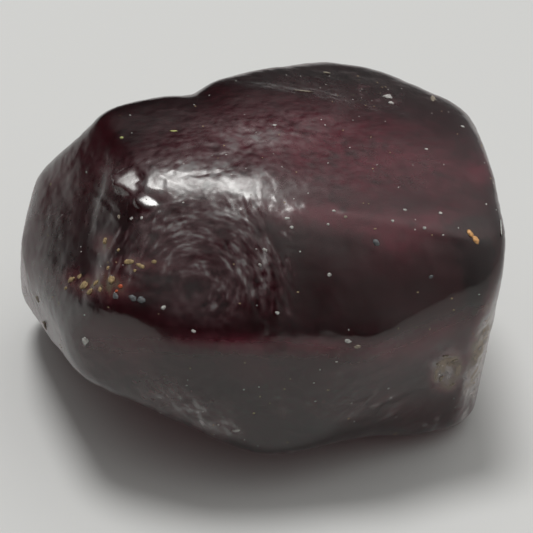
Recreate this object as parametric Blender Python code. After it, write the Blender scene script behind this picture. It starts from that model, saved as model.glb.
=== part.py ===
"""A loose, worn garnet crystal, grown and broken as one piece of stone.

The stone is an uneven rhombic crystal: about two dozen natural faces round one
growth centre, with ridges worn soft, sharper fracture faces low on the right and at the
back, a hollow shoulder, stepped growth ledges, chips and etched pits. It rests on
a small flat at its underside. Units in the constants are millimetres and degrees;
the mesh is in metres, with the origin under the middle of the stone.

A bearing is measured from +X towards +Y, so the front of the stone is at -90.
A tilt is measured up from level.
"""

import bmesh
import bpy
import numpy as np

NAME = "garnet_crystal"
METRES_PER_MM = 0.001

# Driving dimensions.
CENTRE_HEIGHT = 4.1        # growth centre above the resting flat
FLAT_RIM = 0.06            # skin this close above the flat is rubbed down to it
QUADS_PER_EDGE = 26        # resolution of the cube that the stone is cast from
RIDGE_SHARPNESS = 34       # higher makes the worn ridges tighter
FRACTURE_SHARPNESS = 90    # the same, for broken edges

# Natural faces: bearing, tilt, distance from the growth centre.
FACES = {
    "front_low": (-86, 0, 5.14),
    "front_low_right": (-68, -10, 5.32),
    "front_mid": (-80, 34, 4.69),
    "front_mid_left": (-97, 41, 4.66),
    "brow": (-92, 60, 4.30),
    "front_top": (-37, 77, 3.59),
    "front_top_left": (-122, 88, 3.59),
    "top": (10, 82, 3.59),
    "back_top": (122, 42, 4.01),
    "back": (88, 4, 4.74),
    "back_low": (91, -31, 4.59),
    "right": (7, 0, 5.41),
    "right_top": (44, 77, 3.59),
    "right_low": (-1, -3, 5.40),
    "right_back": (45, -1, 5.34),
    "left": (175, 13, 5.98),
    "left_top": (-158, 36, 4.85),
    "left_front": (-112, -3, 5.53),
    "left_back_top": (146, 56, 5.55),
    "left_back": (134, 5, 5.91),
    "left_low": (-156, -6, 5.78),
    "base": (0, -90, 4.30),
    "base_left": (-136, -53, 4.53),
    "base_front": (-86, -65, 4.68),
    "base_right": (13, -66, 6.25),
    "base_back": (90, -60, 4.45),
}

# Broken faces, sharper than the worn ones: bearing, tilt, distance.
FRACTURES = {
    "right_corner": (-34, -10, 6.18),
    "back_corner": (72, -24, 5.05),
}

# Hollows (negative) and swellings (positive) of the surface: bearing, tilt,
# half length, half width, turn of the long axis from level, height.
SWELLS = {
    "shoulder_saddle": (140, 55, 1.10, 0.50, 70, -0.20),
    "shoulder_lump": (163, 41, 1.20, 0.60, 20, 0.17),
    "top_crown": (95, 72, 1.30, 0.60, 5, 0.09),
    "brow_lump": (-87, 55, 0.70, 0.40, 0, 0.13),
    "foot_right": (-38, -36, 1.30, 0.45, 8, 0.17),
    "foot_notch": (-62, -34, 0.80, 0.40, 0, -0.12),
    "front_hollow": (-112, 24, 1.30, 0.85, -50, -0.12),
    "front_rib": (-86, 22, 0.90, 0.28, 80, 0.07),
    "front_corner": (-62, 5, 0.90, 0.30, 22, 0.10),
    "ridge_chip_right": (-50, 30, 0.45, 0.25, 15, -0.04),
    "ridge_chip_mid": (-66, 38, 0.35, 0.22, 20, -0.04),
    "pit_patch": (-140, 17, 0.60, 0.55, 0, -0.10),
    "pit_upper": (-147, 27, 0.35, 0.25, 60, -0.09),
    "corner_pit": (-46, -9, 0.42, 0.32, 60, -0.13),
    "low_edge": (-111, -20, 1.50, 0.50, -16, -0.08),
    "low_chip": (-104, -17, 1.00, 0.35, -20, -0.08),
    "low_chip_end": (-97, -25, 0.40, 0.25, 0, -0.07),
    "left_lip": (-160, -14, 0.80, 0.30, 20, 0.05),
    "back_hollow": (100, 2, 1.50, 0.80, 15, -0.20),
    "back_chip": (55, -25, 0.70, 0.40, 30, -0.15),
}

# Growth ledges: the side beyond the line is lower by the drop. Bearing, tilt,
# half length along the line, reach across it, turn of the line, drop.
LEDGES = {
    "fracture_streak": (-152, 27, 0.75, 0.70, -60, 0.09),
    "low_band": (-113, -21, 1.60, 0.80, -20, 0.10),
    "front_arc": (-84, -32, 1.00, 0.60, 4, 0.07),
    "corner_rib_upper": (-38, 0, 1.20, 0.50, 80, 0.07),
    "corner_rib_lower": (-35, -18, 1.20, 0.50, 75, 0.07),
    "top_step": (0, 66, 1.80, 1.10, -25, 0.07),
    "back_step_upper": (110, 42, 2.20, 1.00, 10, 0.12),
    "back_step_lower": (82, 20, 2.20, 1.00, 5, 0.12),
    "back_step_side": (150, 8, 1.40, 0.90, 70, 0.10),
}
LEDGE_SOFTNESS = 0.10      # width over which a ledge drops

# Fine unevenness of the worn skin: wave length and height.
WAVES = ((2.1, 0.014), (1.2, 0.007), (0.75, 0.003))
WAVES_PER_LENGTH = 7

# Deep wine red, nearly black in this thickness.
STONE_COLOUR = (0.10, 0.015, 0.03, 1.0)
STONE_ROUGHNESS = 0.22
STONE_IOR = 1.76
STONE_TRANSMISSION = 1.0


def direction(bearing, tilt):
    """Unit vector at a bearing and tilt given in degrees."""
    across, up = np.radians(bearing), np.radians(tilt)
    return np.array((np.cos(up) * np.cos(across), np.cos(up) * np.sin(across), np.sin(up)))


def tangent_axes(bearing, tilt, turn):
    """Two unit vectors square to a direction; the first is level when turn is 0."""
    across, angle = np.radians(bearing), np.radians(turn)
    level = np.array((-np.sin(across), np.cos(across), 0.0))
    uphill = np.cross(direction(bearing, tilt), level)
    along = np.cos(angle) * level + np.sin(angle) * uphill
    beside = np.cos(angle) * uphill - np.sin(angle) * level
    return along, beside


def face_term(rays, faces, sharpness):
    """Sum that grows past 1 where a ray of unit length leaves the given faces."""
    total = np.zeros(len(rays))
    for bearing, tilt, distance in faces.values():
        reach = rays @ direction(bearing, tilt) / distance
        total += np.maximum(reach, 0.0) ** sharpness
    return total


def worn_radius(rays):
    """Distance from the growth centre to the worn faces along each ray."""
    return face_term(rays, FACES, RIDGE_SHARPNESS) ** (-1.0 / RIDGE_SHARPNESS)


def swell_height(points, rays):
    """Height of all hollows and swellings at each point."""
    height = np.zeros(len(rays))
    for bearing, tilt, length, width, turn, rise in SWELLS.values():
        towards = direction(bearing, tilt)
        along, beside = tangent_axes(bearing, tilt, turn)
        spread = (points @ along / length) ** 2 + (points @ beside / width) ** 2
        height += rise * np.exp(-spread) * (rays @ towards > 0.0)
    return height


def ledge_height(points, rays):
    """Drop of the surface beyond each growth ledge, fading out with distance."""
    height = np.zeros(len(rays))
    for bearing, tilt, length, reach, turn, drop in LEDGES.values():
        towards = direction(bearing, tilt)
        along, beside = tangent_axes(bearing, tilt, turn)
        run, offset = points @ along, points @ beside
        fade = np.exp(-(run / length) ** 4 - (offset / reach) ** 4)
        side = 0.5 * np.tanh(offset / LEDGE_SOFTNESS)
        height += drop * side * fade * (rays @ towards > 0.0)
    return height


def wave_height(points):
    """Gentle seeded unevenness made of plane waves in many directions."""
    random = np.random.default_rng(7)
    height = np.zeros(len(points))
    for length, amount in WAVES:
        for _ in range(WAVES_PER_LENGTH):
            heading = random.normal(size=3)
            heading /= np.linalg.norm(heading)
            phase = random.uniform(0.0, 2.0 * np.pi)
            height += amount * np.sin(points @ heading * 2.0 * np.pi / length + phase)
    return height / np.sqrt(WAVES_PER_LENGTH)


def broken_radius(rays, radius):
    """Radius after the fracture faces have cut into it."""
    cut = radius ** -FRACTURE_SHARPNESS + face_term(rays, FRACTURES, FRACTURE_SHARPNESS)
    return cut ** (-1.0 / FRACTURE_SHARPNESS)


def stone_points(rays):
    """Surface of the stone along each ray from the growth centre, in millimetres."""
    radius = worn_radius(rays)
    points = rays * radius[:, None]
    radius = radius + swell_height(points, rays) + wave_height(points)
    radius = broken_radius(rays, radius)
    radius = radius + ledge_height(rays * radius[:, None], rays)
    points = rays * radius[:, None]
    rubbed = points[:, 2] < FLAT_RIM - CENTRE_HEIGHT
    points[rubbed, 2] = -CENTRE_HEIGHT
    return points


def centred(points):
    """Points moved so that the origin is under the middle of their box."""
    low, high = points.min(axis=0), points.max(axis=0)
    middle = (low + high) / 2.0
    return points - np.array((middle[0], middle[1], low[2]))


def cube_rays(mesh):
    """Directions of a subdivided cube's corners, spread evenly over the sphere."""
    flat = np.empty(len(mesh.vertices) * 3)
    mesh.vertices.foreach_get("co", flat)
    spread = np.tan(flat.reshape(-1, 3) * np.pi / 4.0)
    return spread / np.linalg.norm(spread, axis=1, keepdims=True)


def stone_mesh():
    """Closed mesh of the whole stone, in metres."""
    shape = bmesh.new()
    bmesh.ops.create_cube(shape, size=2.0)
    bmesh.ops.subdivide_edges(
        shape, edges=shape.edges[:], cuts=QUADS_PER_EDGE - 1, use_grid_fill=True)
    mesh = bpy.data.meshes.new(NAME)
    shape.to_mesh(mesh)
    shape.free()
    points = centred(stone_points(cube_rays(mesh))) * METRES_PER_MM
    mesh.vertices.foreach_set("co", points.ravel())
    mesh.update()
    mesh.shade_smooth()
    return mesh


def stone_material():
    """Clear, deeply coloured stone with a worn polish."""
    material = bpy.data.materials.new(NAME)
    material.use_nodes = True
    shader = material.node_tree.nodes["Principled BSDF"]
    shader.inputs["Base Color"].default_value = STONE_COLOUR
    shader.inputs["Roughness"].default_value = STONE_ROUGHNESS
    shader.inputs["Metallic"].default_value = 0.0
    shader.inputs["IOR"].default_value = STONE_IOR
    shader.inputs["Transmission Weight"].default_value = STONE_TRANSMISSION
    return material


def main():
    for old in list(bpy.data.objects):
        bpy.data.objects.remove(old, do_unlink=True)
    collection = bpy.data.collections.new(NAME)
    bpy.context.scene.collection.children.link(collection)
    stone = bpy.data.objects.new(NAME, stone_mesh())
    stone.data.materials.append(stone_material())
    collection.objects.link(stone)


if __name__ == "__main__":
    main()
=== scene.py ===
"""Looks of the worn garnet crystal: its fine skin, its deep red glass and its grains.

Lengths are in millimetres unless a name says otherwise; the meshes are in metres.
Places on the visible skin are given as the camera sees them: pixels from the top
left of a view FRAME_SIZE pixels wide. Angles in the view are in degrees, clockwise
from pointing right.
"""

import math

import bmesh
import bpy
import numpy as np
from mathutils import Matrix, Vector, bvhtree, noise


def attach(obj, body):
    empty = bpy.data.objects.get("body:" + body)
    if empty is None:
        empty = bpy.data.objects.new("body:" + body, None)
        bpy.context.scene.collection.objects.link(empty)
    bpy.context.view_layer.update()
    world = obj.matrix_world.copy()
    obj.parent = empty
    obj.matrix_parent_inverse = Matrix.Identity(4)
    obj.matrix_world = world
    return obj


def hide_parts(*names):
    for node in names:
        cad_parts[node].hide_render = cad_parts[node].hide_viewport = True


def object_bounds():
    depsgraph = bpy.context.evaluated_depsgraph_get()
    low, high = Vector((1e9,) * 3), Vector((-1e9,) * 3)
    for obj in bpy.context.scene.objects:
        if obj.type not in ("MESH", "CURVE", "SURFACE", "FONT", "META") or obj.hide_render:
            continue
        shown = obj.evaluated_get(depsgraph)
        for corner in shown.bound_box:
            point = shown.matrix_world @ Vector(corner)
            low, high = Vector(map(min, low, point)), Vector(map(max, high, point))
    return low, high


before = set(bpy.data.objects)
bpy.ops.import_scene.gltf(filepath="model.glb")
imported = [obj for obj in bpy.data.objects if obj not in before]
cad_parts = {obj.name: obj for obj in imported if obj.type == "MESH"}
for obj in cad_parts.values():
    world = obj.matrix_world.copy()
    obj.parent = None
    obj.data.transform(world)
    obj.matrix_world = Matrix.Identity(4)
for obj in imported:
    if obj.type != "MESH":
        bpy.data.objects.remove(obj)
cad_box = [list(corner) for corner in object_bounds()]

NODE = "garnet_crystal"
METRES_PER_MM = 0.001

# Camera: its place, how far it looks below level, and its roll.
CAMERA_PLACE = (0.539, -31.969, 25.52)
CAMERA_DOWN = 34.7
CAMERA_ROLL = -1.02
FRAME_SIZE = 533
FOCAL_PIXELS = 1554.0
SENSOR_WIDTH = 36.0
CLIP_START, CLIP_END = 0.001, 10.0    # in metres

# The skin is cast from rays that leave the growth centre, closer together in front.
GROWTH_CENTRE = (0.539, 0.191, 4.1)
SKIN_LEVELS = 7                # times that a cube's sides are halved into rays
FRONT_CROWDING = 0.45
CAST_LEVELS = 3                # smoothing of the solid that the rays are cast on
MERGE_DISTANCE = 1e-6          # of the solid's loose corners, in metres
QUAD_ANGLE = 60.0              # two triangles make one side where they bend less

NOISE_SHIFT = (17.3, 5.9, 9.1)         # moves the noise on from one seed to the next
NOISE_FADING, NOISE_STEP = 1.0, 2.1    # how octaves weaken and how much finer each one is

# Glass: absorption in parts per metre for red, green and blue.
GARNET_IOR = 1.76
ABSORPTION = (410.0, 700.0, 560.0)


# --- meshes and objects ---------------------------------------------------------------

def add_object(name, data):
    """New object in the scene."""
    thing = bpy.data.objects.new(name, data)
    bpy.context.scene.collection.objects.link(thing)
    return thing


def mesh_from(name, shape):
    """Mesh of an edited shape, which is let go."""
    mesh = bpy.data.meshes.new(name)
    shape.to_mesh(mesh)
    shape.free()
    return mesh


def settle(thing):
    """Turn what an object's modifiers make into its own plain mesh."""
    graph = bpy.context.evaluated_depsgraph_get()
    mesh = bpy.data.meshes.new_from_object(thing.evaluated_get(graph))
    thing.modifiers.clear()
    thing.data = mesh


def get_points(mesh):
    """Places of a mesh's corners as rows."""
    flat = np.empty(len(mesh.vertices) * 3, dtype=np.float32)
    mesh.vertices.foreach_get("co", flat)
    return flat.reshape(-1, 3).astype(float)


def set_points(mesh, points):
    """Move a mesh's corners."""
    mesh.vertices.foreach_set("co", points.astype(np.float32).ravel())
    mesh.update()


def keep_in_box(mesh):
    """Push corners that stand past the solid's box back to it."""
    set_points(mesh, np.clip(get_points(mesh), *np.array(cad_box)))


def get_normals(mesh):
    """Outward directions at a mesh's corners as rows."""
    flat = np.empty(len(mesh.vertices) * 3, dtype=np.float32)
    mesh.vertex_normals.foreach_get("vector", flat)
    return flat.reshape(-1, 3).astype(float)


def unit(vectors):
    """Rows scaled to length 1."""
    return vectors / np.linalg.norm(vectors, axis=-1, keepdims=True)


# --- directions and camera ------------------------------------------------------------

def facing(bearing, tilt):
    """Unit vector at a bearing from +X towards +Y and a tilt up from level."""
    across, up = math.radians(bearing), math.radians(tilt)
    return np.array((
        math.cos(up) * math.cos(across), math.cos(up) * math.sin(across), math.sin(up)))


def camera_turn():
    """Rotation of the camera: tipped down from level, then rolled."""
    tip = Matrix.Rotation(math.radians(90.0 - CAMERA_DOWN), 4, "X")
    return tip @ Matrix.Rotation(math.radians(CAMERA_ROLL), 4, "Z")


def make_camera():
    """Camera that sees the stone as placed in the frame, without a shift."""
    data = bpy.data.cameras.new("camera")
    data.sensor_width = SENSOR_WIDTH
    data.lens = SENSOR_WIDTH * FOCAL_PIXELS / FRAME_SIZE
    data.clip_start, data.clip_end = CLIP_START, CLIP_END
    data.dof.use_dof = False
    camera = add_object("camera", data)
    camera.location = Vector(CAMERA_PLACE) * METRES_PER_MM
    camera.rotation_euler = camera_turn().to_euler()
    bpy.context.scene.camera = camera


def view_place(points):
    """View x and y of points in millimetres."""
    axes = np.array(camera_turn().to_3x3())
    reach = (points - np.array(CAMERA_PLACE)) @ axes
    x = FRAME_SIZE / 2.0 - FOCAL_PIXELS * reach[:, 0] / reach[:, 2]
    y = FRAME_SIZE / 2.0 + FOCAL_PIXELS * reach[:, 1] / reach[:, 2]
    return x, y


def sight_line(x, y):
    """Unit direction from the camera through a place in the view."""
    side = x - FRAME_SIZE / 2.0
    drop = y - FRAME_SIZE / 2.0
    return (camera_turn().to_3x3() @ Vector((side, -drop, -FOCAL_PIXELS))).normalized()


# --- fields drawn in the view ---------------------------------------------------------

def turned(across, down, turn):
    """Distances along and beside an axis that is turned clockwise from pointing right."""
    angle = math.radians(turn)
    along = across * math.cos(angle) + down * math.sin(angle)
    beside = down * math.cos(angle) - across * math.sin(angle)
    return along, beside


# Strokes and ovals have faded out at these many half lengths from their middles.
STROKE_WINDOW, OVAL_WINDOW = 2.2, 2.6
STROKE_MARGIN = 2.0            # more room round a stroke, in pixels
READ_LIMIT = FRAME_SIZE - 1.001    # farthest place with a pixel beyond it


class Field:
    """A soft drawing on the view, read back at the skin's points."""

    def __init__(self):
        self.value = np.zeros((FRAME_SIZE, FRAME_SIZE))

    def window(self, x, y, reach):
        """Slices and pixel places of the part of the view near a point."""
        left, right = np.clip((int(x - reach), int(x + reach) + 1), 0, FRAME_SIZE)
        top, bottom = np.clip((int(y - reach), int(y + reach) + 1), 0, FRAME_SIZE)
        rows, columns = np.mgrid[top:bottom, left:right] + 0.5
        return (slice(top, bottom), slice(left, right)), columns - x, rows - y

    def stroke(self, x, y, length, width, turn, height, bend=0.0):
        """Add a soft stroke; length and width are halves, bend is one over its radius."""
        room = STROKE_WINDOW * max(length, width) + STROKE_MARGIN
        part, across, down = self.window(x, y, room)
        along, beside = turned(across, down, turn)
        beside = beside - 0.5 * bend * along ** 2
        self.value[part] += height * np.exp(-(along / length) ** 4 - (beside / width) ** 2)

    def shelf(self, x, y, length, far, near, turn, height):
        """Shift the skin on one side of a line: it fades slowly there, fast beyond."""
        room = STROKE_WINDOW * max(length, far) + STROKE_MARGIN
        part, across, down = self.window(x, y, room)
        along, beside = turned(across, down, turn)
        reach = np.where(beside < 0.0, far, near)
        self.value[part] += height * np.exp(-(along / length) ** 4 - (beside / reach) ** 2)

    def oval(self, x, y, length, width, turn, height):
        """Add a soft oval patch."""
        part, across, down = self.window(x, y, OVAL_WINDOW * max(length, width))
        along, beside = turned(across, down, turn)
        self.value[part] += height * np.exp(-(along / length) ** 2 - (beside / width) ** 2)

    def read(self, x, y):
        """Values at view places, smooth between pixels; outside, those of the edge."""
        column = np.clip(x - 0.5, 0, READ_LIMIT)
        row = np.clip(y - 0.5, 0, READ_LIMIT)
        left, top = column.astype(int), row.astype(int)
        right_share, low_share = column - left, row - top
        upper, lower = (
            self.value[line, left] * (1 - right_share) + self.value[line, left + 1] * right_share
            for line in (top, top + 1))
        return upper * (1 - low_share) + lower * low_share


def patches(places):
    """Field of named soft patches."""
    field = Field()
    for x, y, length, width, turn, amount in places.values():
        field.oval(x, y, length, width, turn, amount)
    return field


# --- relief in the view ---------------------------------------------------------------

# Where the skin is calm, with few strokes and wrinkles, and where it is wrinkled, as soft
# patches: middle x and y, half length, half width, turn, and an amount.
CALM = {
    "shoulder slope": (105, 190, 30, 40, 20, 0.6),
    "left lobe": (134, 181, 11, 11, 0, 0.9),
    "second lobe": (151, 186, 9, 8, -20, 0.9),
    "under lobe": (149, 201, 12, 6, 5, 0.9),
    "middle band": (204, 182, 26, 8, 2, 0.75),
    "right band": (255, 182, 36, 15, 4, 0.75),
}
WRINKLED = {
    "brow": (205, 172, 100, 20, 2, 0.55),
    "foot": (240, 205, 60, 12, 6, 0.35),
    "halo": (245, 138, 95, 28, -8, 1.1),
    "upper left": (320, 150, 50, 60, 30, 0.30),
    "upper right": (410, 160, 60, 45, 10, 0.10),
    "top strip": (320, 85, 110, 16, 5, 0.12),
    "left end": (60, 250, 40, 90, 10, 0.22),
    "pitted patch": (125, 245, 28, 45, 0, 0.45),
    "low left": (120, 370, 70, 40, 30, 0.35),
    "low front": (330, 390, 150, 45, 0, 0.40),
    "broken corner": (484, 370, 18, 55, 0, 0.60),
}
WRINKLE_HEIGHT = 0.022
WRINKLE_LENGTH = 0.26
LEAST_WRINKLED = 0.14          # share of the wrinkles that is found all over
HIDDEN_WRINKLED = 0.30         # share that is added where the camera doesn't see
CALM_STROKES = 0.80            # share of the strokes that calm skin loses
WAVE_HEIGHT = 0.010            # of the broad unevenness
WAVE_LENGTH = 0.90
FOOT_HEIGHT = 0.40             # the relief fades out below this height

# Scattered strokes: middle x and y, half spread along and across, turn of the spread,
# count, half length, half width, turn of the strokes and its scatter, height in mm.
STROKES = {
    "highlight folds": (205, 180, 90, 22, 0, 120, 8.0, 2.2, 25, 25, 0.005),
    "halo folds": (250, 140, 95, 26, -5, 240, 6.0, 2.0, 15, 45, 0.014),
    "feathered foot": (250, 203, 42, 9, 8, 90, 9.0, 1.8, 62, 14, 0.011),
    "left foot": (172, 217, 22, 14, 0, 60, 8.0, 1.8, -40, 16, 0.014),
    "red strokes": (200, 252, 34, 22, 0, 40, 14.0, 1.8, 2, 10, 0.004),
    "crossing lines": (195, 300, 52, 34, 0, 90, 9.0, 1.5, 80, 50, 0.004),
    "dash band": (264, 270, 7, 62, 0, 120, 5.0, 1.6, 70, 25, 0.010),
    "dash band right": (287, 270, 8, 60, 0, 90, 5.0, 1.6, 80, 25, 0.008),
    "slanted striations": (376, 407, 46, 12, 0, 60, 10.0, 1.8, -30, 12, 0.012),
    "low left scales": (190, 410, 50, 22, 25, 170, 7.0, 2.2, 25, 25, 0.020),
    "low front scales": (330, 400, 120, 32, 0, 260, 7.0, 2.2, -10, 40, 0.007),
    "fracture ribs": (480, 365, 52, 9, -74, 120, 9.0, 2.0, -62, 14, 0.030),
    "left weathering": (80, 290, 50, 60, 0, 160, 6.0, 2.2, 40, 60, 0.006),
    "pitted patch": (125, 245, 30, 45, 0, 140, 4.0, 2.4, 0, 90, 0.008),
    "upper right grain": (400, 165, 75, 42, 8, 200, 6.0, 2.4, 20, 40, 0.0025),
    "shoulder": (150, 105, 45, 14, -10, 90, 7.0, 2.2, -10, 25, 0.007),
    "top strip": (330, 88, 90, 12, 8, 140, 7.0, 2.0, 10, 25, 0.003),
    "under ridge": (280, 352, 90, 8, 2, 60, 10.0, 2.4, 8, 15, 0.004),
}

# Pale streaks, laid out as the strokes are; the last number is their amount. Those of the dash
# bands and the foot are painted glints of the lamp on fine relief, the others pale rubbed
# streaks.
PALE_STREAKS_AND_GLINTS = {
    # painted glints of the lamp, on this line and the next three
    "dash band": (264, 262, 5, 50, 3, 110, 4.0, 1.0, 68, 18, 0.32),
    "dash band right": (287, 262, 6, 50, -3, 90, 4.0, 1.0, 78, 18, 0.26),
    "foot": (250, 208, 40, 10, 8, 70, 8.0, 1.0, 62, 14, 0.22),
    "left foot": (172, 218, 20, 14, 0, 36, 8.0, 1.0, -40, 14, 0.22),
    "chipped band": (195, 412, 48, 12, 24, 110, 6.0, 1.2, 24, 20, 0.42),
    "low striations": (376, 407, 44, 12, 0, 60, 9.0, 1.0, -30, 12, 0.26),
    "low front": (300, 395, 90, 26, 0, 90, 7.0, 1.2, -5, 40, 0.14),
    "corner edge": (481, 360, 52, 7, -74, 170, 9.0, 1.2, -66, 14, 1.20),
    "low corner": (440, 425, 30, 6, -10, 40, 6.0, 1.4, -20, 25, 0.30),
    "left skin": (80, 255, 40, 60, 0, 60, 6.0, 1.0, 50, 30, 0.16),
    "top strip": (380, 95, 70, 14, 16, 50, 5.0, 1.1, 20, 30, 0.18),
}

# Swirl of growth strokes round one place: nearest and farthest circle, first and last
# bearing, count, height, half width.
SWIRL_CENTRE = (195, 289)
SWIRLS = {
    "left": (60, 92, 185, 255, 90, 0.007, 1.7),
    "over": (66, 90, 250, 300, 70, 0.005, 1.7),
    "right": (45, 88, 300, 375, 130, 0.007, 1.7),
}
# The same for its pale lines, which are painted glints of the lamp on the swirl's strokes; the
# height is their amount.
PAINTED_SWIRL_GLINTS = {
    "left": (56, 96, 190, 260, 90, 0.16, 0.9),
    "over": (50, 92, 250, 305, 110, 0.12, 0.9),
    "right": (40, 90, 300, 372, 130, 0.14, 0.9),
    "inner": (12, 50, 200, 420, 110, 0.12, 0.9),
}

# Cracks and folds drawn one by one: from, to, half width, bend, height.
CRACKS = {
    "lobe parting": ((137, 193), (163, 194), 1.6, 0.0, -0.030),
    "lobe split": ((141, 178), (143, 191), 1.5, 0.0, -0.025),
    "wavy upper": ((190, 176), (214, 173), 1.5, -0.02, -0.018),
    "wavy upper right": ((212, 173), (232, 169), 1.5, 0.02, -0.018),
    "fold end": ((262, 170), (276, 186), 1.8, 0.03, -0.006),
    "fracture streak": ((90, 190), (119, 224), 2.2, 0.0, 0.006),
    "fracture shadow": ((94, 188), (124, 221), 2.2, 0.0, -0.006),
    "ridge crest": ((326, 210), (398, 222), 7.5, 0.0, 0.034),
    "ridge crest right": ((398, 222), (478, 240), 7.0, 0.0, 0.040),
    "pit floor": ((446, 380), (452, 362), 9.0, 0.0, -0.050),
    "pit rim upper": ((436, 362), (458, 352), 2.6, 0.10, 0.030),
    "pit rim left": ((436, 364), (436, 388), 2.6, 0.06, 0.030),
    "pit rim inner": ((441, 366), (455, 358), 2.0, 0.10, 0.026),
    "pit shelf": ((443, 378), (457, 370), 2.2, 0.06, 0.026),
    "rib one": ((462, 396), (488, 330), 2.4, 0.004, 0.030),
    "rib two": ((468, 410), (486, 366), 2.2, 0.004, 0.026),
    "low arc": ((280, 430), (322, 436), 2.4, -0.01, 0.018),
}

# Worn ridges: middle x and y, half length, fade above the line and below it, turn, height.
WORN_RIDGES = {
    "middle left": (190, 331, 85, 60, 12, 2, -0.036),
    "middle right": (325, 343, 66, 60, 12, 3, -0.045),
    "right": (436, 324, 56, 50, 11, -22, -0.050),
}

# Small flat lobes: middle x and y, half length, half width, turn, and the bearing and tilt
# that they face.
LOBES = {
    "left lobe": (132, 181, 14, 12, -30, -98, 66),
    "second lobe": (153, 184, 13, 10, 10, -95, 67),
    "under lobe": (149, 202, 15, 8, 8, -96, 66),
    "foot lobe": (161, 212, 9, 3, -35, -97, 60),
    "foot lobe low": (168, 220, 8, 2.5, -35, -97, 56),
}
LOBE_FRAY, LOBE_FRAY_LENGTH = 0.30, 0.30    # unevenness of their outlines
LOBE_EDGE = 6                               # higher makes their edges steeper

# Random ranges of scattered strokes, as shares of the values in their tables.
SCATTER = 1.6                  # farthest stroke, beside the half spread
LENGTHS, WIDTHS, HEIGHTS = (0.5, 1.4), (0.8, 1.4), (0.5, 1.3)
BENDING = 0.02                 # usual bend, as one over its radius in pixels
# The same for the strokes of a swirl; their half lengths are in pixels.
SWIRL_LENGTHS, SWIRL_WIDTHS, SWIRL_HEIGHTS = (6.0, 13.0), (0.8, 1.3), (0.4, 1.3)
SWIRL_TURNING = 10.0           # scatter of their turn, in degrees
STROKE_SEED, STREAK_SEED = 11, 23


def scattered_strokes(field, random, beds, signs):
    """Draw each bed of scattered strokes, with the given choice of signs."""
    for bed in beds.values():
        x, y, spread, reach, spread_turn, count, length, width, turn, scatter, height = bed
        angle = math.radians(spread_turn)
        for _ in range(count):
            run, rise = random.uniform(-SCATTER, SCATTER, 2)
            keep = math.exp(-run ** 2 - rise ** 2)
            run, rise = run * spread, rise * reach
            field.stroke(
                x + run * math.cos(angle) - rise * math.sin(angle),
                y + run * math.sin(angle) + rise * math.cos(angle),
                length * random.uniform(*LENGTHS), width * random.uniform(*WIDTHS),
                turn + random.normal() * scatter,
                keep * height * random.choice(signs) * random.uniform(*HEIGHTS),
                random.normal() * BENDING)


def swirl_strokes(field, random, swirls, signs):
    """Draw strokes that follow circles round the swirl's centre."""
    for near, far, first, last, count, height, width in swirls.values():
        for _ in range(count):
            bearing = math.radians(random.uniform(first, last))
            radius = random.uniform(near, far)
            field.stroke(
                SWIRL_CENTRE[0] + radius * math.cos(bearing),
                SWIRL_CENTRE[1] + radius * math.sin(bearing),
                random.uniform(*SWIRL_LENGTHS), width * random.uniform(*SWIRL_WIDTHS),
                math.degrees(bearing) + 90.0 + random.normal() * SWIRL_TURNING,
                height * random.choice(signs) * random.uniform(*SWIRL_HEIGHTS),
                -1.0 / radius)


def crack_strokes(field):
    """Draw each named crack or fold."""
    for (x1, y1), (x2, y2), width, bend, height in CRACKS.values():
        field.stroke(
            (x1 + x2) / 2.0, (y1 + y2) / 2.0, math.hypot(x2 - x1, y2 - y1) / 2.0, width,
            math.degrees(math.atan2(y2 - y1, x2 - x1)), height, bend)


def ridge_wear(field):
    """Lower the skin above each worn ridge."""
    for x, y, length, far, near, turn, height in WORN_RIDGES.values():
        field.shelf(x, y, length, far, near, turn, height)


def view_strokes():
    """Strokes, swirl and cracks that are placed from the camera's side, in millimetres."""
    random = np.random.default_rng(STROKE_SEED)
    field = Field()
    scattered_strokes(field, random, STROKES, (-1.0, 1.0))
    swirl_strokes(field, random, SWIRLS, (-1.0, 1.0))
    calm = patches(CALM)
    field.value *= 1.0 - CALM_STROKES * np.minimum(calm.value, 1.0)
    crack_strokes(field)
    ridge_wear(field)
    return field


# --- finish in the view ---------------------------------------------------------------

# Finishes are soft patches, laid out as the wrinkled ones are.

# How rough the polish is, from 0 for glassy to 1 for frosted.
FROST = {
    "worn ridge": (240, 348, 125, 8, 2, 0.85),
    "worn ridge right": (432, 327, 72, 8, -22, 0.75),
    "upper right": (400, 168, 85, 45, 8, 0.45),
    "halo": (245, 140, 100, 34, -8, 0.50),
    "highlight": (205, 180, 90, 22, 2, 0.50),
    "foot": (255, 205, 50, 14, 8, 0.30),
    "top strip": (330, 88, 120, 18, 8, 0.45),
    "left end": (60, 250, 45, 90, 10, 0.40),
    "left rim": (28, 262, 12, 75, 0, 0.60),
    "pitted patch": (112, 245, 36, 52, 0, 0.60),
    "low left": (150, 385, 90, 45, 25, 0.35),
    "low front": (330, 395, 130, 40, 0, 0.30),
    "swirl": (200, 250, 60, 50, 0, 0.12),
    "dash bands": (275, 265, 22, 60, 0, 0.15),
    "broken corner": (482, 370, 20, 60, -10, 0.30),
}
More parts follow.
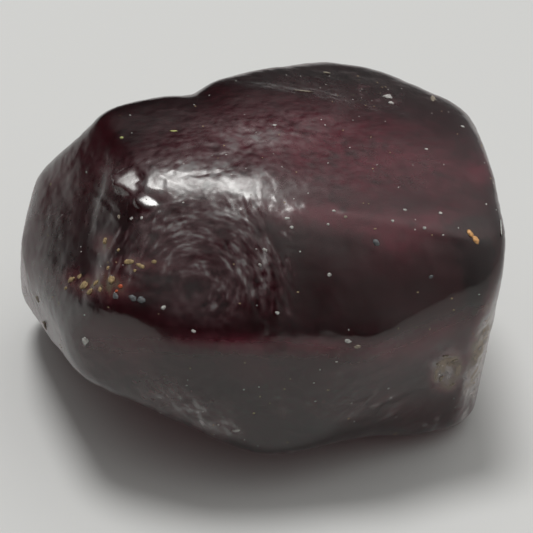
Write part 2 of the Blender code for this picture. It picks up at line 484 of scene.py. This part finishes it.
# Crimson layer just under the skin, lit as a matt coat: its ridge and under-ridge patches are
# painted glow of light shining through the stone, the rest a bruised crimson tint.
VEIL_AND_GLOW = {
    "upper right": (415, 165, 70, 44, 12, 0.70),
    "upper middle": (325, 160, 60, 46, 20, 0.62),
    "halo": (245, 140, 95, 34, -8, 0.50),
    # painted glow of light shining through the stone, along the upper ridge
    "ridge glow": (355, 221, 85, 13, 8, 1.00),
    "ridge wedge": (398, 243, 28, 14, 15, 0.60),
    "ridge branch": (445, 216, 32, 9, -18, 0.70),
    "right end": (480, 170, 14, 16, 60, 0.60),
    # painted glow of light shining through the stone, under the lower ridge
    "under ridge": (270, 345, 110, 9, 2, 1.0),
    "under ridge right": (432, 334, 50, 8, -22, 0.60),
    "middle face": (370, 262, 70, 18, 5, 0.16),
    "low left": (130, 360, 60, 22, 30, 0.30),
    "low front": (395, 360, 60, 20, -15, 0.30),
    "low middle": (260, 372, 60, 16, 0, 0.25),
    "low corner": (430, 410, 40, 16, 0, 0.22),
}
# Pale rubbed dust; its halo and highlight patches are painted highlight round the lamp's
# reflection, and its swirl patch a painted grey sheen.
DUST_AND_HIGHLIGHT = {
    # painted highlight: pale colour that brightens the lamp's reflection, on this line and the
    # next
    "halo": (245, 135, 85, 24, -8, 0.16),
    "highlight": (205, 180, 88, 18, 2, 0.44),
    "chipped band": (190, 412, 55, 14, 24, 0.10),
    "corner edge": (480, 370, 7, 50, 12, 0.16),
    "corner pit": (447, 368, 13, 16, 10, 0.62),
    "low grey": (300, 400, 90, 26, 0, 0.05),
    "middle grey": (440, 265, 60, 20, -8, 0.04),
    # painted grey sheen of reflected light
    "swirl": (195, 290, 62, 50, 0, 0.10),
}
# Clay and rust left in the pits.
CLAY = {
    "pit left": (439, 374, 5, 11, 15, 0.70),
    "pit top": (450, 361, 10, 5, -30, 0.60),
    "pit right": (458, 369, 5, 8, 10, 0.50),
    "pit foot": (447, 385, 8, 5, -20, 0.55),
    "ochre patch": (98, 284, 28, 11, 8, 0.34),
    "ochre row": (140, 264, 22, 5, 5, 0.26),
    "ochre upper": (105, 244, 8, 8, 60, 0.24),
    "broken corner": (480, 350, 8, 42, 14, 0.60),
}
# Grit that is stuck to the skin.
GRIT = {
    "ochre patch": (105, 275, 34, 24, 5, 0.9),
    "upper skin": (340, 150, 110, 50, 10, 0.35),
    "middle face": (350, 285, 120, 45, 0, 0.25),
    "chipped band": (190, 412, 60, 20, 24, 0.55),
    "broken corner": (470, 390, 30, 50, 0, 0.55),
    "top strip": (380, 95, 90, 18, 14, 0.45),
}
FINISHES = {"frost": FROST, "veil_and_glow": VEIL_AND_GLOW, "dust_and_highlight": DUST_AND_HIGHLIGHT, "clay": CLAY, "grit": GRIT}
# Least amounts where the camera sees the skin, amounts elsewhere, and how much they vary.
EVEN_FINISH = {"frost": 0.05, "veil_and_glow": 0.04, "dust_and_highlight": 0.02, "clay": 0.0, "grit": 0.12}
HIDDEN_FINISH = {"frost": 0.30, "veil_and_glow": 0.30, "dust_and_highlight": 0.05, "clay": 0.02, "grit": 0.25}
FINISH_SPOTTING = {"frost": 0.30, "veil_and_glow": 0.45, "dust_and_highlight": 1.00, "clay": 0.90, "grit": 0.50}
SPOT_LENGTH, FINE_SPOT_LENGTH = 0.70, 0.16
FINE_SPOTS = 1.2               # strength of the fine spots beside the broad ones
SPOT_SEED, FINE_SPOT_SEED = 20, 30


def finish_field(name):
    """Field of one finish, with its pale streaks and painted glints if it has them."""
    field = patches(FINISHES[name])
    if name == "dust_and_highlight":
        random = np.random.default_rng(STREAK_SEED)
        scattered_strokes(field, random, PALE_STREAKS_AND_GLINTS, (1.0,))
        swirl_strokes(field, random, PAINTED_SWIRL_GLINTS, (1.0,))
    return field


# --- skin -----------------------------------------------------------------------------

def smooth_solid():
    """Search tree of the solid, merged and smoothed."""
    shape = bmesh.new()
    shape.from_mesh(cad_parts[NODE].data)
    bmesh.ops.remove_doubles(shape, verts=shape.verts[:], dist=MERGE_DISTANCE)
    bmesh.ops.join_triangles(
        shape, faces=shape.faces[:], angle_face_threshold=math.radians(QUAD_ANGLE),
        angle_shape_threshold=math.radians(QUAD_ANGLE))
    copy = add_object("solid_copy", mesh_from("solid_copy", shape))
    smooth = copy.modifiers.new("smooth", "SUBSURF")
    smooth.levels = smooth.render_levels = CAST_LEVELS
    tree = bvhtree.BVHTree.FromObject(copy, bpy.context.evaluated_depsgraph_get())
    bpy.data.objects.remove(copy, do_unlink=True)
    return tree


def ray_cube():
    """Cube cut into an even grid, with one corner for each ray."""
    shape = bmesh.new()
    bmesh.ops.create_cube(shape, size=2.0)
    cube = add_object("garnet_skin", mesh_from("garnet_skin", shape))
    cut = cube.modifiers.new("cut", "SUBSURF")
    cut.subdivision_type = "SIMPLE"
    cut.levels = cut.render_levels = SKIN_LEVELS
    settle(cube)
    return cube


def cast_skin(cube):
    """Throw the cube's corners on the solid along rays from the growth centre."""
    tree = smooth_solid()
    rays = unit(np.tan(get_points(cube.data) * np.pi / 4.0))
    to_camera = unit(np.array(CAMERA_PLACE) - np.array(GROWTH_CENTRE))
    rays = unit(rays + FRONT_CROWDING * to_camera)
    start = Vector(GROWTH_CENTRE) * METRES_PER_MM
    hits = [tree.ray_cast(start, Vector(ray))[0] for ray in rays]
    set_points(cube.data, np.array([tuple(hit) for hit in hits]))


def noise_heights(points, wave_length, octaves, seed):
    """Smooth random heights of about -1 to 1 at points in millimetres."""
    shift = Vector([seed * part for part in NOISE_SHIFT])
    scaled = points / wave_length
    return np.array([
        noise.fractal(Vector(place) + shift, NOISE_FADING, NOISE_STEP, octaves)
        for place in scaled])


def smooth_step(value, low, high):
    """0 below low, 1 above high, smooth between."""
    share = np.clip((value - low) / (high - low), 0.0, 1.0)
    return share * share * (3.0 - 2.0 * share)


SEEN_FROM, SEEN_WELL = 0.05, 0.25    # how squarely skin faces the camera
LEAST_LEAN = 0.3                     # limits the rise of lobes on skin that leans away


def seen_share(points, normals):
    """1 where the camera sees the skin well, 0 where it turns away."""
    to_camera = unit(np.array(CAMERA_PLACE) - points)
    return smooth_step((normals * to_camera).sum(axis=1), SEEN_FROM, SEEN_WELL)


def lobe_heights(points, normals, seen, x, y):
    """Heights that lay the small flat lobes on the skin."""
    fray = 1.0 + LOBE_FRAY * noise_heights(points, LOBE_FRAY_LENGTH, octaves=2, seed=5)
    height, cover = np.zeros(len(points)), np.zeros(len(points))
    for middle_x, middle_y, length, width, turn, bearing, tilt in LOBES.values():
        along, beside = turned(x - middle_x, y - middle_y, turn)
        reach = fray * np.hypot(along / length, beside / width)
        middle = points[np.argmin(np.where(seen < 0.5, np.inf, reach))]
        towards = facing(bearing, tilt)
        drop = (middle - points) @ towards / np.maximum(normals @ towards, LEAST_LEAN)
        share = seen * np.exp(-reach ** LOBE_EDGE)
        height += share * drop
        cover += share
    return height / np.maximum(cover, 1.0)


def sculpt_skin(stone):
    """Raise the fine relief on the skin, all round and where the camera sees it."""
    mesh = stone.data
    points = get_points(mesh) / METRES_PER_MM
    normals = get_normals(mesh)
    seen = seen_share(points, normals)
    x, y = view_place(points)
    calm = np.minimum(patches(CALM).read(x, y), 1.0)
    wrinkled = np.minimum(patches(WRINKLED).read(x, y), 1.0)
    share = LEAST_WRINKLED + (
        seen * wrinkled * (1.0 - calm) + (1.0 - seen) * HIDDEN_WRINKLED)
    height = WAVE_HEIGHT * noise_heights(points, WAVE_LENGTH, octaves=2, seed=1)
    wrinkles = WRINKLE_HEIGHT * noise_heights(points, WRINKLE_LENGTH, octaves=3, seed=2)
    height += share * wrinkles
    height += seen * view_strokes().read(x, y)
    height += lobe_heights(points, normals, seen, x, y)
    height *= smooth_step(points[:, 2], 0.0, FOOT_HEIGHT)
    points += normals * height[:, None]
    low, high = np.array(cad_box) / METRES_PER_MM
    set_points(mesh, np.clip(points, low, high) * METRES_PER_MM)


def finish_skin(stone):
    """Store at each corner how frosted and stained the skin is, its crimson layer with painted
    glow, and its dust with painted highlight, sheen and glints.
    """
    mesh = stone.data
    points = get_points(mesh) / METRES_PER_MM
    seen = seen_share(points, get_normals(mesh))
    x, y = view_place(points)
    for number, name in enumerate(FINISHES):
        amount = np.clip(finish_field(name).read(x, y), 0.0, 1.0)
        amount = seen * np.maximum(amount, EVEN_FINISH[name])
        amount += (1.0 - seen) * HIDDEN_FINISH[name]
        fine = noise_heights(points, FINE_SPOT_LENGTH, octaves=3, seed=FINE_SPOT_SEED + number)
        spots = noise_heights(points, SPOT_LENGTH, octaves=2, seed=SPOT_SEED + number)
        spots += FINE_SPOTS * fine
        amount *= 1.0 + FINISH_SPOTTING[name] * spots
        layer = mesh.attributes.new(name, "FLOAT", "POINT")
        layer.data.foreach_set("value", np.clip(amount, 0.0, 1.0).astype(np.float32))


# --- glass ----------------------------------------------------------------------------

# Colours of the crimson layer, which is partly painted glow, the pale dust, which is partly
# painted highlight, and the clay, and how much each hides the glass.
CRIMSON = (0.46, 0.030, 0.085, 1.0)
PALE_DUST_AND_HIGHLIGHT = (0.62, 0.55, 0.55, 1.0)
BROWN_CLAY = (0.27, 0.20, 0.14, 1.0)
VEIL_COVER, DUST_COVER, CLAY_COVER = 0.15, 0.45, 0.90
TINTING = 2.5                  # thin dust and clay colour the skin more than they hide it
POLISH, FROSTED = 0.13, 0.46   # roughness
WORN_GLOSS = (0.80, 0.80, 0.78, 1.0)    # worn skin shines less than cut stone
FINEST_SIZE = 0.07             # of the finest unevenness
FINEST_HEIGHT = 0.0035
FINEST_SHARES = (0.15, 1.0)    # of it on polished and on frosted skin
FINEST_DETAIL = 3.0


def layer_amount(nodes, name):
    """Socket with one of the skin's stored layers."""
    reader = nodes.new("ShaderNodeAttribute")
    reader.attribute_name = name
    return reader.outputs["Fac"]


def scaled(nodes, links, value, low, high):
    """Socket that goes from low to high as the value goes from 0 to 1."""
    spread = nodes.new("ShaderNodeMapRange")
    spread.inputs["To Min"].default_value = low
    spread.inputs["To Max"].default_value = high
    links.new(value, spread.inputs["Value"])
    return spread.outputs["Result"]


def blended(nodes, links, share, first, second):
    """Socket with a colour mixed from the first to the second."""
    mix = nodes.new("ShaderNodeMix")
    mix.data_type = "RGBA"
    links.new(share, mix.inputs["Factor"])
    if isinstance(first, tuple):
        mix.inputs["A"].default_value = first
    else:
        links.new(first, mix.inputs["A"])
    mix.inputs["B"].default_value = second
    return mix.outputs["Result"]


def product(nodes, links, first, second):
    """Socket with two values multiplied."""
    times = nodes.new("ShaderNodeMath")
    times.operation = "MULTIPLY"
    links.new(first, times.inputs[0])
    links.new(second, times.inputs[1])
    return times.outputs["Value"]


def fine_grain(nodes, links, strength):
    """Normal with the finest unevenness of the skin, in Object coordinates."""
    place = nodes.new("ShaderNodeTexCoord").outputs["Object"]
    grain = nodes.new("ShaderNodeTexNoise")
    grain.inputs["Scale"].default_value = 1.0 / (FINEST_SIZE * METRES_PER_MM)
    grain.inputs["Detail"].default_value = FINEST_DETAIL
    bump = nodes.new("ShaderNodeBump")
    bump.inputs["Distance"].default_value = FINEST_HEIGHT * METRES_PER_MM
    links.new(place, grain.inputs["Vector"])
    links.new(grain.outputs["Fac"], bump.inputs["Height"])
    links.new(strength, bump.inputs["Strength"])
    return bump.outputs["Normal"]


def garnet_material():
    """Deep red glass with a worn skin, stained in places, with a crimson layer that is partly
    painted glow and dust that is partly painted highlight.
    """
    material = bpy.data.materials.new("garnet_glass")
    material.use_nodes = True
    nodes, links = material.node_tree.nodes, material.node_tree.links
    shader = nodes["Principled BSDF"]
    frost, veil_and_glow = layer_amount(nodes, "frost"), layer_amount(nodes, "veil_and_glow")
    dust_and_highlight, clay = layer_amount(nodes, "dust_and_highlight"), layer_amount(nodes, "clay")
    colour = blended(nodes, links, scaled(nodes, links, dust_and_highlight, 0.0, TINTING), CRIMSON, PALE_DUST_AND_HIGHLIGHT)
    colour = blended(nodes, links, scaled(nodes, links, clay, 0.0, TINTING), colour, BROWN_CLAY)
    clear = scaled(nodes, links, veil_and_glow, 1.0, 1.0 - VEIL_COVER)
    clear = product(nodes, links, clear, scaled(nodes, links, dust_and_highlight, 1.0, 1.0 - DUST_COVER))
    clear = product(nodes, links, clear, scaled(nodes, links, clay, 1.0, 1.0 - CLAY_COVER))
    links.new(colour, shader.inputs["Base Color"])
    links.new(clear, shader.inputs["Transmission Weight"])
    links.new(scaled(nodes, links, frost, POLISH, FROSTED), shader.inputs["Roughness"])
    finest = scaled(nodes, links, frost, *FINEST_SHARES)
    links.new(fine_grain(nodes, links, finest), shader.inputs["Normal"])
    shader.inputs["IOR"].default_value = GARNET_IOR
    shader.inputs["Specular Tint"].default_value = WORN_GLOSS
    depth = nodes.new("ShaderNodeVolumeAbsorption")
    density = max(ABSORPTION)
    depth.inputs["Color"].default_value = [1.0 - share / density for share in ABSORPTION] + [1.0]
    depth.inputs["Density"].default_value = density
    links.new(depth.outputs["Volume"], nodes["Material Output"].inputs["Volume"])
    return material


# --- stone ----------------------------------------------------------------------------

def make_stone():
    """The crystal's skin in its glass, in place of the plain solid."""
    stone = ray_cube()
    cast_skin(stone)
    sculpt_skin(stone)
    finish_skin(stone)
    stone.data.materials.clear()
    stone.data.materials.append(garnet_material())
    stone.data.shade_smooth()
    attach(stone, "root")
    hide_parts(NODE)
    return stone


# --- grains ---------------------------------------------------------------------------

# Grains stuck in the skin: colour, roughness, then view x and y, half length and half
# width in pixels, and turn.
GRAINS = {
    "ochre_grains": ((0.38, 0.27, 0.13), 0.7, (
        (105, 242, 4, 3, 60), (72, 280, 5, 3, 10), (85, 285, 5, 4, -20), (90, 292, 5, 3, 0),
        (112, 280, 4, 3, 30), (129, 262, 5, 3, 0), (140, 265, 4, 2, 20), (153, 262, 3, 2, 0),
        (100, 290, 3, 2, 40), (79, 277, 3, 2, 0), (96, 283, 3, 2, -30), (134, 271, 2, 1.5, 0),
        (119, 250, 2, 1.5, 20), (108, 268, 2, 1.5, 0), (66, 288, 2, 1.5, 0))),
    "rust_grains": ((0.50, 0.09, 0.03), 0.5, (
        (121, 286, 3, 2.5, 20), (117, 291, 2, 1.3, 0))),
    "orange_flecks": ((0.80, 0.42, 0.16), 0.5, (
        (471, 234, 4.5, 2.6, 60), (477, 241, 5, 2.8, 50), (474, 238, 3, 2, 20))),
    "slate_grains": ((0.12, 0.125, 0.13), 0.5, (
        (117, 296, 4, 3, 0), (133, 298, 4, 2.5, 10), (140, 300, 4, 3, -20),
        (378, 242, 4, 3, 20), (431, 277, 2, 1.5, 0))),
    "tan_grains": ((0.31, 0.26, 0.20), 0.7, (
        (119, 217, 3, 2, 40), (357, 347, 3, 2, 10), (45, 325, 4, 2.5, 40), (346, 217, 2, 1.4, 0),
        (326, 73, 4, 1.8, 5), (433, 99, 2.5, 7, 10), (438, 365, 3, 1.6, 60),
        (446, 356, 3, 1.6, -20), (456, 360, 3, 1.5, -30), (441, 379, 2, 3, 20),
        (453, 384, 3, 1.6, -30), (303, 91, 8, 1.2, -18), (38, 300, 3, 2, 40))),
    # white grains; the specks on the upper ridge, the one on the low chipped edge and the thin
    # streaks on the right outline are painted glints
    "white_grains_and_glints": ((0.55, 0.53, 0.50), 0.35, (
        (132, 218, 2, 1.5, 0), (141, 218, 2, 1.5, 0), (164, 307, 2.2, 2, 0),
        (277, 313, 2, 1.6, 0), (330, 275, 2.6, 2.2, 0), (265, 250, 2, 1.4, 0),
        (260, 265, 2, 1.4, 0), (275, 125, 2, 1.5, 0), (287, 218, 2, 1.4, 0),
        (291, 227, 2, 1.4, 0), (194, 331, 2.4, 1.6, 0), (349, 341, 3, 2, 0),
        (86, 341, 3, 5, 10), (388, 97, 4.5, 4, 30), (391, 103, 2.5, 2.5, 0),
        (463, 127, 2, 2, 0), (405, 210, 2, 1.5, 0), (393, 221, 2, 1.3, 0),
        (424, 228, 2, 1.4, 0), (334, 211, 1.8, 1.2, 0), (328, 224, 1.6, 1.2, 0),
        (441, 213, 1.8, 1.3, 0), (426, 149, 1.8, 1.4, 0), (236, 430, 3, 1.8, -20),
        (490, 164, 1.2, 5, 8), (501, 228, 1.0, 9, 4))),
    "lime_grains": ((0.55, 0.55, 0.20), 0.5, (
        (122, 138, 2, 1.6, 0), (173, 131, 4, 1.2, 25))),
}
GRAIN_MOTTLE = 0.06            # size of the mottling in a grain
GRAIN_SHADE = 0.45             # its darkest part beside its lightest
GRAIN_DARK, GRAIN_LIGHT = 0.3, 0.65    # values of the mottling at both
GRAIN_RISE = 0.5               # half height of a grain beside its narrower half size
GRAIN_SINK = 0.35              # share of its height that is sunk in the skin
LUMPS = 3                      # lumps in each grain
LUMP_SPREAD = 0.5              # farthest lump from the middle, beside the half sizes
LUMP_SIZES = (0.55, 0.95)      # beside the whole grain
LUMP_ROUGHNESS = 0.6           # depth of its dents beside its radius
LUMP_DENTS = 1.1               # dents along its radius
DENT_OCTAVES, DENT_STEP = 3, 2.0    # each octave of the dents is finer by the step
LUMP_SHIFTS = (-50.0, 50.0)    # range of random places in the noise
GRAIN_SEED = 31


def grain_material(name, colour, roughness):
    """Earthy grain, mottled from dark to light."""
    material = bpy.data.materials.new(name)
    material.use_nodes = True
    nodes, links = material.node_tree.nodes, material.node_tree.links
    shader = nodes["Principled BSDF"]
    place = nodes.new("ShaderNodeTexCoord").outputs["Object"]
    mottle = nodes.new("ShaderNodeTexNoise")
    mottle.inputs["Scale"].default_value = 1.0 / (GRAIN_MOTTLE * METRES_PER_MM)
    shade = nodes.new("ShaderNodeValToRGB")
    dark, light = shade.color_ramp.elements
    dark.position, light.position = GRAIN_DARK, GRAIN_LIGHT
    dark.color = [GRAIN_SHADE * part for part in colour] + [1.0]
    light.color = [*colour, 1.0]
    links.new(place, mottle.inputs["Vector"])
    links.new(mottle.outputs["Fac"], shade.inputs["Fac"])
    links.new(shade.outputs["Color"], shader.inputs["Base Color"])
    shader.inputs["Roughness"].default_value = roughness
    return material


def add_grain(shape, tree, x, y, length, width, turn, random):
    """Add one rough grain, a few lumps grown together, where a sight line meets the skin."""
    eye = Vector(CAMERA_PLACE) * METRES_PER_MM
    place, normal, _, distance = tree.ray_cast(eye, sight_line(x, y))
    if place is None:
        return
    pixel = distance / FOCAL_PIXELS
    level = camera_turn().to_3x3() @ Vector((
        math.cos(math.radians(turn)), -math.sin(math.radians(turn)), 0.0))
    along = (level - normal * level.dot(normal)).normalized()
    beside = normal.cross(along)
    rise = GRAIN_RISE * min(length, width) * pixel
    for _ in range(LUMPS):
        made = bmesh.ops.create_icosphere(shape, subdivisions=2, radius=1.0)["verts"]
        shift = Vector(random.uniform(*LUMP_SHIFTS, 3))
        run, reach = random.uniform(-LUMP_SPREAD, LUMP_SPREAD, 2)
        size = random.uniform(*LUMP_SIZES)
        for corner in made:
            dent = noise.fractal(
                corner.co * LUMP_DENTS + shift, NOISE_FADING, DENT_STEP, DENT_OCTAVES)
            rough = 1.0 + LUMP_ROUGHNESS * dent
            spot = corner.co * rough * size
            corner.co = (place + along * ((spot.x + run) * length * pixel)
                         + beside * ((spot.y + reach) * width * pixel)
                         + normal * ((spot.z + 1.0 - 2.0 * GRAIN_SINK) * rise))


def grain_piece(name, shape, material):
    """Grains as one piece of the stone, kept inside its box."""
    mesh = mesh_from(name, shape)
    keep_in_box(mesh)
    mesh.materials.append(material)
    mesh.shade_smooth()
    piece = add_object(name, mesh)
    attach(piece, "root")


def make_grains(stone):
    """The grains that are placed one by one."""
    tree = bvhtree.BVHTree.FromObject(stone, bpy.context.evaluated_depsgraph_get())
    random = np.random.default_rng(GRAIN_SEED)
    for name, (colour, roughness, places) in GRAINS.items():
        shape = bmesh.new()
        for x, y, length, width, turn in places:
            add_grain(shape, tree, x, y, length, width, turn, random)
        grain_piece(name, shape, grain_material(name, colour, roughness))


# Fine grit: colour, how many grains on a square metre at full grit, half size, and seed.
GRIT_KINDS = {
    "pale_grit": ((0.62, 0.58, 0.55), 5.0e6, 0.022, 3),
    "tan_grit": ((0.40, 0.27, 0.15), 3.0e6, 0.026, 8),
}
GRIT_ROUGHNESS = 0.6
GRIT_LEAST, GRIT_MOST = (0.4, 0.4, 0.3), (1.5, 1.0, 0.6)    # beside the half size


def grit_tree(name, material):
    """Node tree that strews grains over a skin by its stored grit."""
    tree = bpy.data.node_groups.new(name, "GeometryNodeTree")
    face = tree.interface
    face.new_socket("Skin", in_out="INPUT", socket_type="NodeSocketGeometry")
    for title, kind in (("Count", "NodeSocketFloat"), ("Size", "NodeSocketFloat"),
                        ("Seed", "NodeSocketInt")):
        face.new_socket(title, in_out="INPUT", socket_type=kind)
    face.new_socket("Grains", in_out="OUTPUT", socket_type="NodeSocketGeometry")
    nodes, links = tree.nodes, tree.links
    given, result = nodes.new("NodeGroupInput"), nodes.new("NodeGroupOutput")
    grit = nodes.new("GeometryNodeInputNamedAttribute")
    grit.data_type = "FLOAT"
    grit.inputs["Name"].default_value = "grit"
    count = product(nodes, links, grit.outputs["Attribute"], given.outputs["Count"])
    strew = nodes.new("GeometryNodeDistributePointsOnFaces")
    grain = nodes.new("GeometryNodeMeshIcoSphere")
    grain.inputs["Subdivisions"].default_value = 1
    spread = nodes.new("FunctionNodeRandomValue")
    spread.data_type = "FLOAT_VECTOR"
    spread.inputs["Min"].default_value = GRIT_LEAST
    spread.inputs["Max"].default_value = GRIT_MOST
    place = nodes.new("GeometryNodeInstanceOnPoints")
    real = nodes.new("GeometryNodeRealizeInstances")
    paint = nodes.new("GeometryNodeSetMaterial")
    paint.inputs["Material"].default_value = material
    links.new(given.outputs["Skin"], strew.inputs["Mesh"])
    links.new(count, strew.inputs["Density"])
    links.new(given.outputs["Seed"], strew.inputs["Seed"])
    links.new(given.outputs["Size"], grain.inputs["Radius"])
    links.new(given.outputs["Seed"], spread.inputs["Seed"])
    links.new(strew.outputs["Points"], place.inputs["Points"])
    links.new(strew.outputs["Rotation"], place.inputs["Rotation"])
    links.new(grain.outputs["Mesh"], place.inputs["Instance"])
    links.new(spread.outputs["Value"], place.inputs["Scale"])
    links.new(place.outputs["Instances"], real.inputs["Geometry"])
    links.new(real.outputs["Geometry"], paint.inputs["Geometry"])
    links.new(paint.outputs["Geometry"], result.inputs["Grains"])
    return tree


def make_grit(stone):
    """Fine grit strewn over the whole skin."""
    for name, (colour, count, size, seed) in GRIT_KINDS.items():
        material = grain_material(name, colour, GRIT_ROUGHNESS)
        piece = add_object(name, stone.data.copy())
        strewn = piece.modifiers.new("strewn", "NODES")
        strewn.node_group = grit_tree(name, material)
        values = {"Count": count, "Size": size * METRES_PER_MM, "Seed": seed}
        for socket in strewn.node_group.interface.items_tree:
            if socket.in_out == "INPUT" and socket.name in values:
                strewn[socket.identifier] = values[socket.name]
        settle(piece)
        keep_in_box(piece.data)
        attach(piece, "root")


# --- studio ---------------------------------------------------------------------------

FLOOR_COLOUR = (0.645, 0.645, 0.632, 1.0)
FLOOR_ROUGHNESS, FLOOR_GLOSS = 0.9, 0.1
FLOOR_HALF_SIDE = 2.0          # in metres


def make_floor():
    """Pale matt floor."""
    shape = bmesh.new()
    bmesh.ops.create_grid(shape, x_segments=1, y_segments=1, size=FLOOR_HALF_SIDE)
    floor = add_object("floor", mesh_from("floor", shape))
    paper = bpy.data.materials.new("floor_paper")
    paper.use_nodes = True
    shader = paper.node_tree.nodes["Principled BSDF"]
    shader.inputs["Base Color"].default_value = FLOOR_COLOUR
    shader.inputs["Roughness"].default_value = FLOOR_ROUGHNESS
    shader.inputs["Specular IOR Level"].default_value = FLOOR_GLOSS
    floor.data.materials.append(paper)


LAMP_BEARING, LAMP_HEIGHT = 120.0, 81.0
LAMP_DISTANCE, LAMP_SIZE = 260.0, 80.0
LAMP_WATTS = 0.370


def make_lamp():
    """Compact soft lamp overhead."""
    lamp = bpy.data.lights.new("lamp", "AREA")
    lamp.shape = "DISK"
    lamp.size = LAMP_SIZE * METRES_PER_MM
    lamp.energy = LAMP_WATTS
    holder = add_object("lamp", lamp)
    towards = Vector(facing(LAMP_BEARING, LAMP_HEIGHT))
    holder.location = towards * LAMP_DISTANCE * METRES_PER_MM
    holder.rotation_euler = towards.to_track_quat("Z", "Y").to_euler()


# The room's brightness by the sine of the height above level, and its bright side.
ROOM = {0.0: 0.03, 0.34: 0.035, 0.5: 0.055, 0.68: 0.23, 0.87: 0.46, 1.0: 0.60}
BRIGHT_SIDE, BRIGHT_BEARING, BRIGHT_TILT = 0.46, 2.0, 25.0
ROOM_TINT = (1.0, 1.0, 0.985, 1.0)


def make_sky():
    """Dim room with a pale ceiling, brighter on one side."""
    world = bpy.data.worlds.new("studio")
    world.use_nodes = True
    nodes, links = world.node_tree.nodes, world.node_tree.links
    way = nodes.new("ShaderNodeTexCoord").outputs["Generated"]
    split = nodes.new("ShaderNodeSeparateXYZ")
    rise = nodes.new("ShaderNodeValToRGB")
    stops = rise.color_ramp.elements
    while len(stops) < len(ROOM):
        stops.new(0.5)
    for stop, (height, glow) in zip(stops, ROOM.items()):
        stop.position = height
        stop.color = (glow, glow, glow, 1.0)
    sideways = nodes.new("ShaderNodeVectorMath")
    sideways.operation = "DOT_PRODUCT"
    sideways.inputs[1].default_value = facing(BRIGHT_BEARING, BRIGHT_TILT)
    side = nodes.new("ShaderNodeMapRange")
    side.interpolation_type = "SMOOTHSTEP"
    side.inputs["From Min"].default_value = 0.0
    side.inputs["From Max"].default_value = 1.0
    side.inputs["To Max"].default_value = BRIGHT_SIDE
    total = nodes.new("ShaderNodeMath")
    total.operation = "ADD"
    links.new(way, split.inputs["Vector"])
    links.new(split.outputs["Z"], rise.inputs["Fac"])
    links.new(way, sideways.inputs[0])
    links.new(sideways.outputs["Value"], side.inputs["Value"])
    links.new(rise.outputs["Color"], total.inputs[0])
    links.new(side.outputs["Result"], total.inputs[1])
    links.new(total.outputs["Value"], nodes["Background"].inputs["Strength"])
    nodes["Background"].inputs["Color"].default_value = ROOM_TINT
    bpy.context.scene.world = world


make_camera()
make_floor()
make_lamp()
make_sky()
bpy.context.scene.view_settings.view_transform = "Standard"
garnet = make_stone()
make_grains(garnet)
make_grit(garnet)
